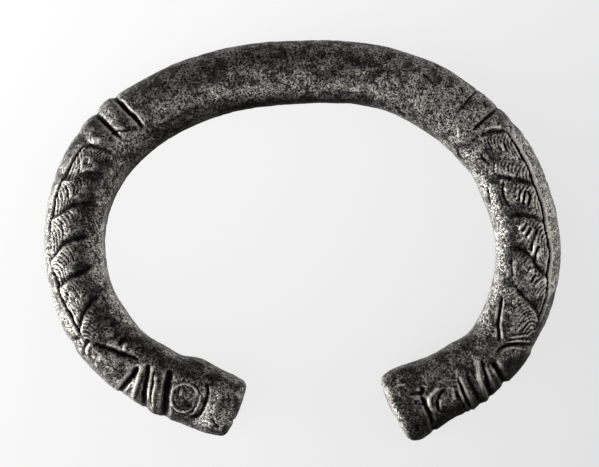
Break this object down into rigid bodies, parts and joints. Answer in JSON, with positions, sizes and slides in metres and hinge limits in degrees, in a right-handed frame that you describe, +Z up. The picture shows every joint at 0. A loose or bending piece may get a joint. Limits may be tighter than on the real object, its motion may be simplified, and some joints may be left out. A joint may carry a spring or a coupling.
{
  "type": "lion head bracelet",
  "caption": "An open cast bronze bracelet lying on its side, its ends worked as lion heads with manes up the arms, collars and a plain back.",
  "frame": {"origin": "The bottom centre of the bracelet's box, as it lies on its side.", "axes": "+X runs across the hoop, the longest way, from the left head's arm to the right head's arm. +Y points from the gap between the heads to the middle of the back. +Z is up, through the wrist opening, the shortest way."},
  "size_m": [0.0802, 0.0622, 0.0105],
  "materials": {
    "bronze": "dark patinated cast bronze, pitted, with worn brighter edges"
  },
  "bodies": {
    "root": {"bracelet": "bronze"}
  },
  "joints": []
}
